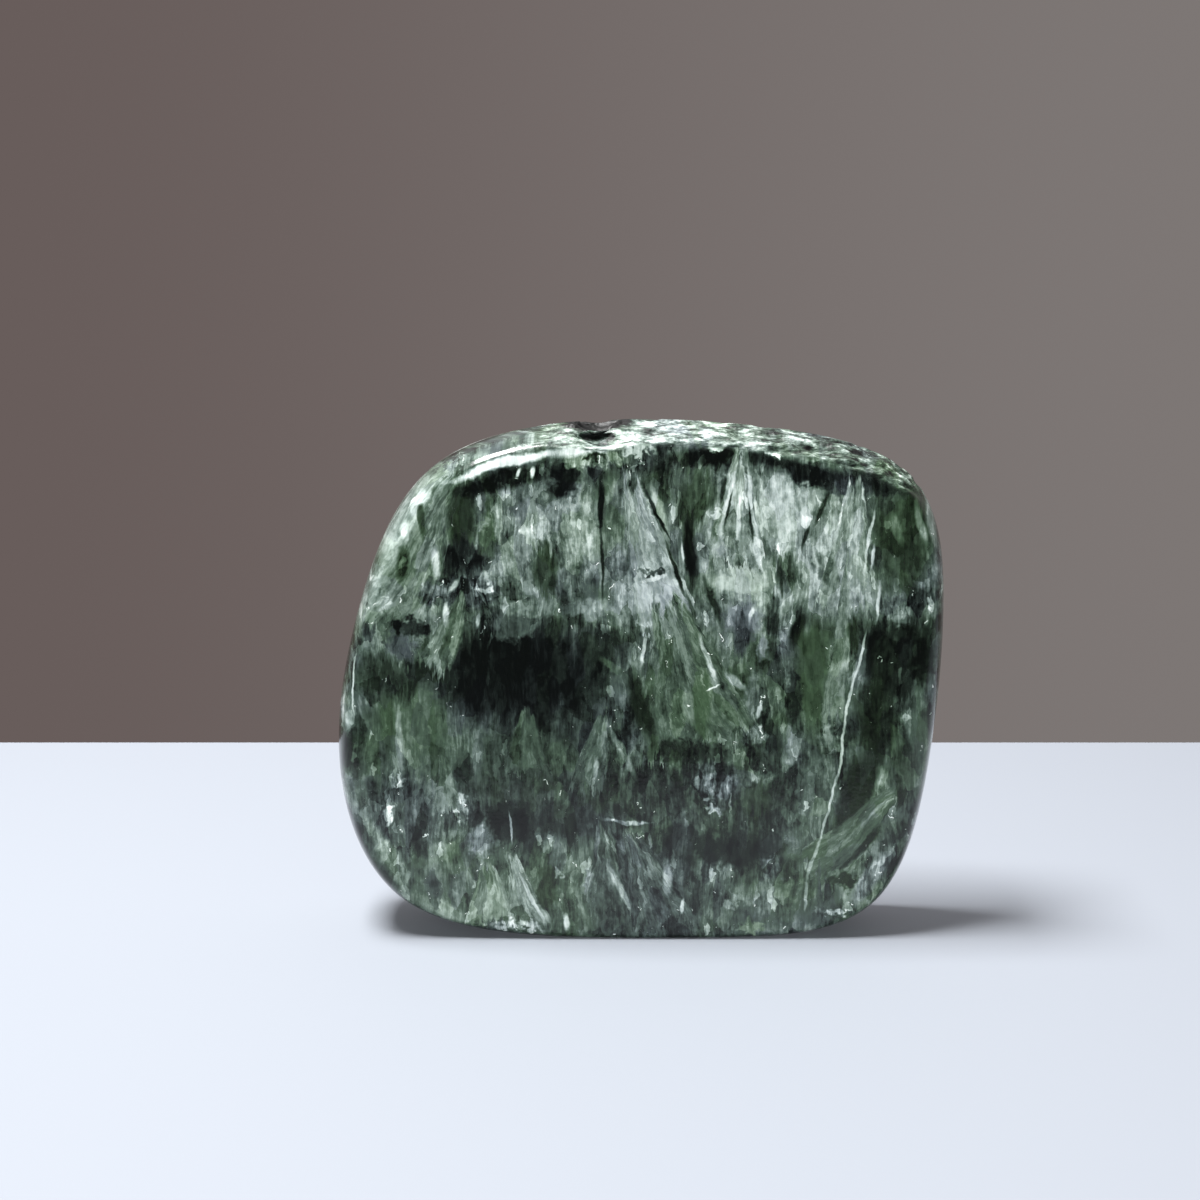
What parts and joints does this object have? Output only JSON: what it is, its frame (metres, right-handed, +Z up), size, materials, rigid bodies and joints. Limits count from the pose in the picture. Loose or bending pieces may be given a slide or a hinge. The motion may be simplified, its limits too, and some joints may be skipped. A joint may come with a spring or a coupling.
{
  "type": "polished stone slab",
  "caption": "Polished freeform slab of seraphinite that stands on its edge: dark green stone with silvery, feather-like fans of fibres and a rounded outline.",
  "frame": {"origin": "middle of the base, on the ground flat that the slab stands on", "axes": "+Z up, +X along the slab's width to the right as its main face is seen, +Y from that face to the back"},
  "size_m": [0.061, 0.0158, 0.051],
  "materials": {
    "seraphinite": "polished"
  },
  "bodies": {
    "root": {"seraphinite_slab": "seraphinite"}
  },
  "joints": []
}
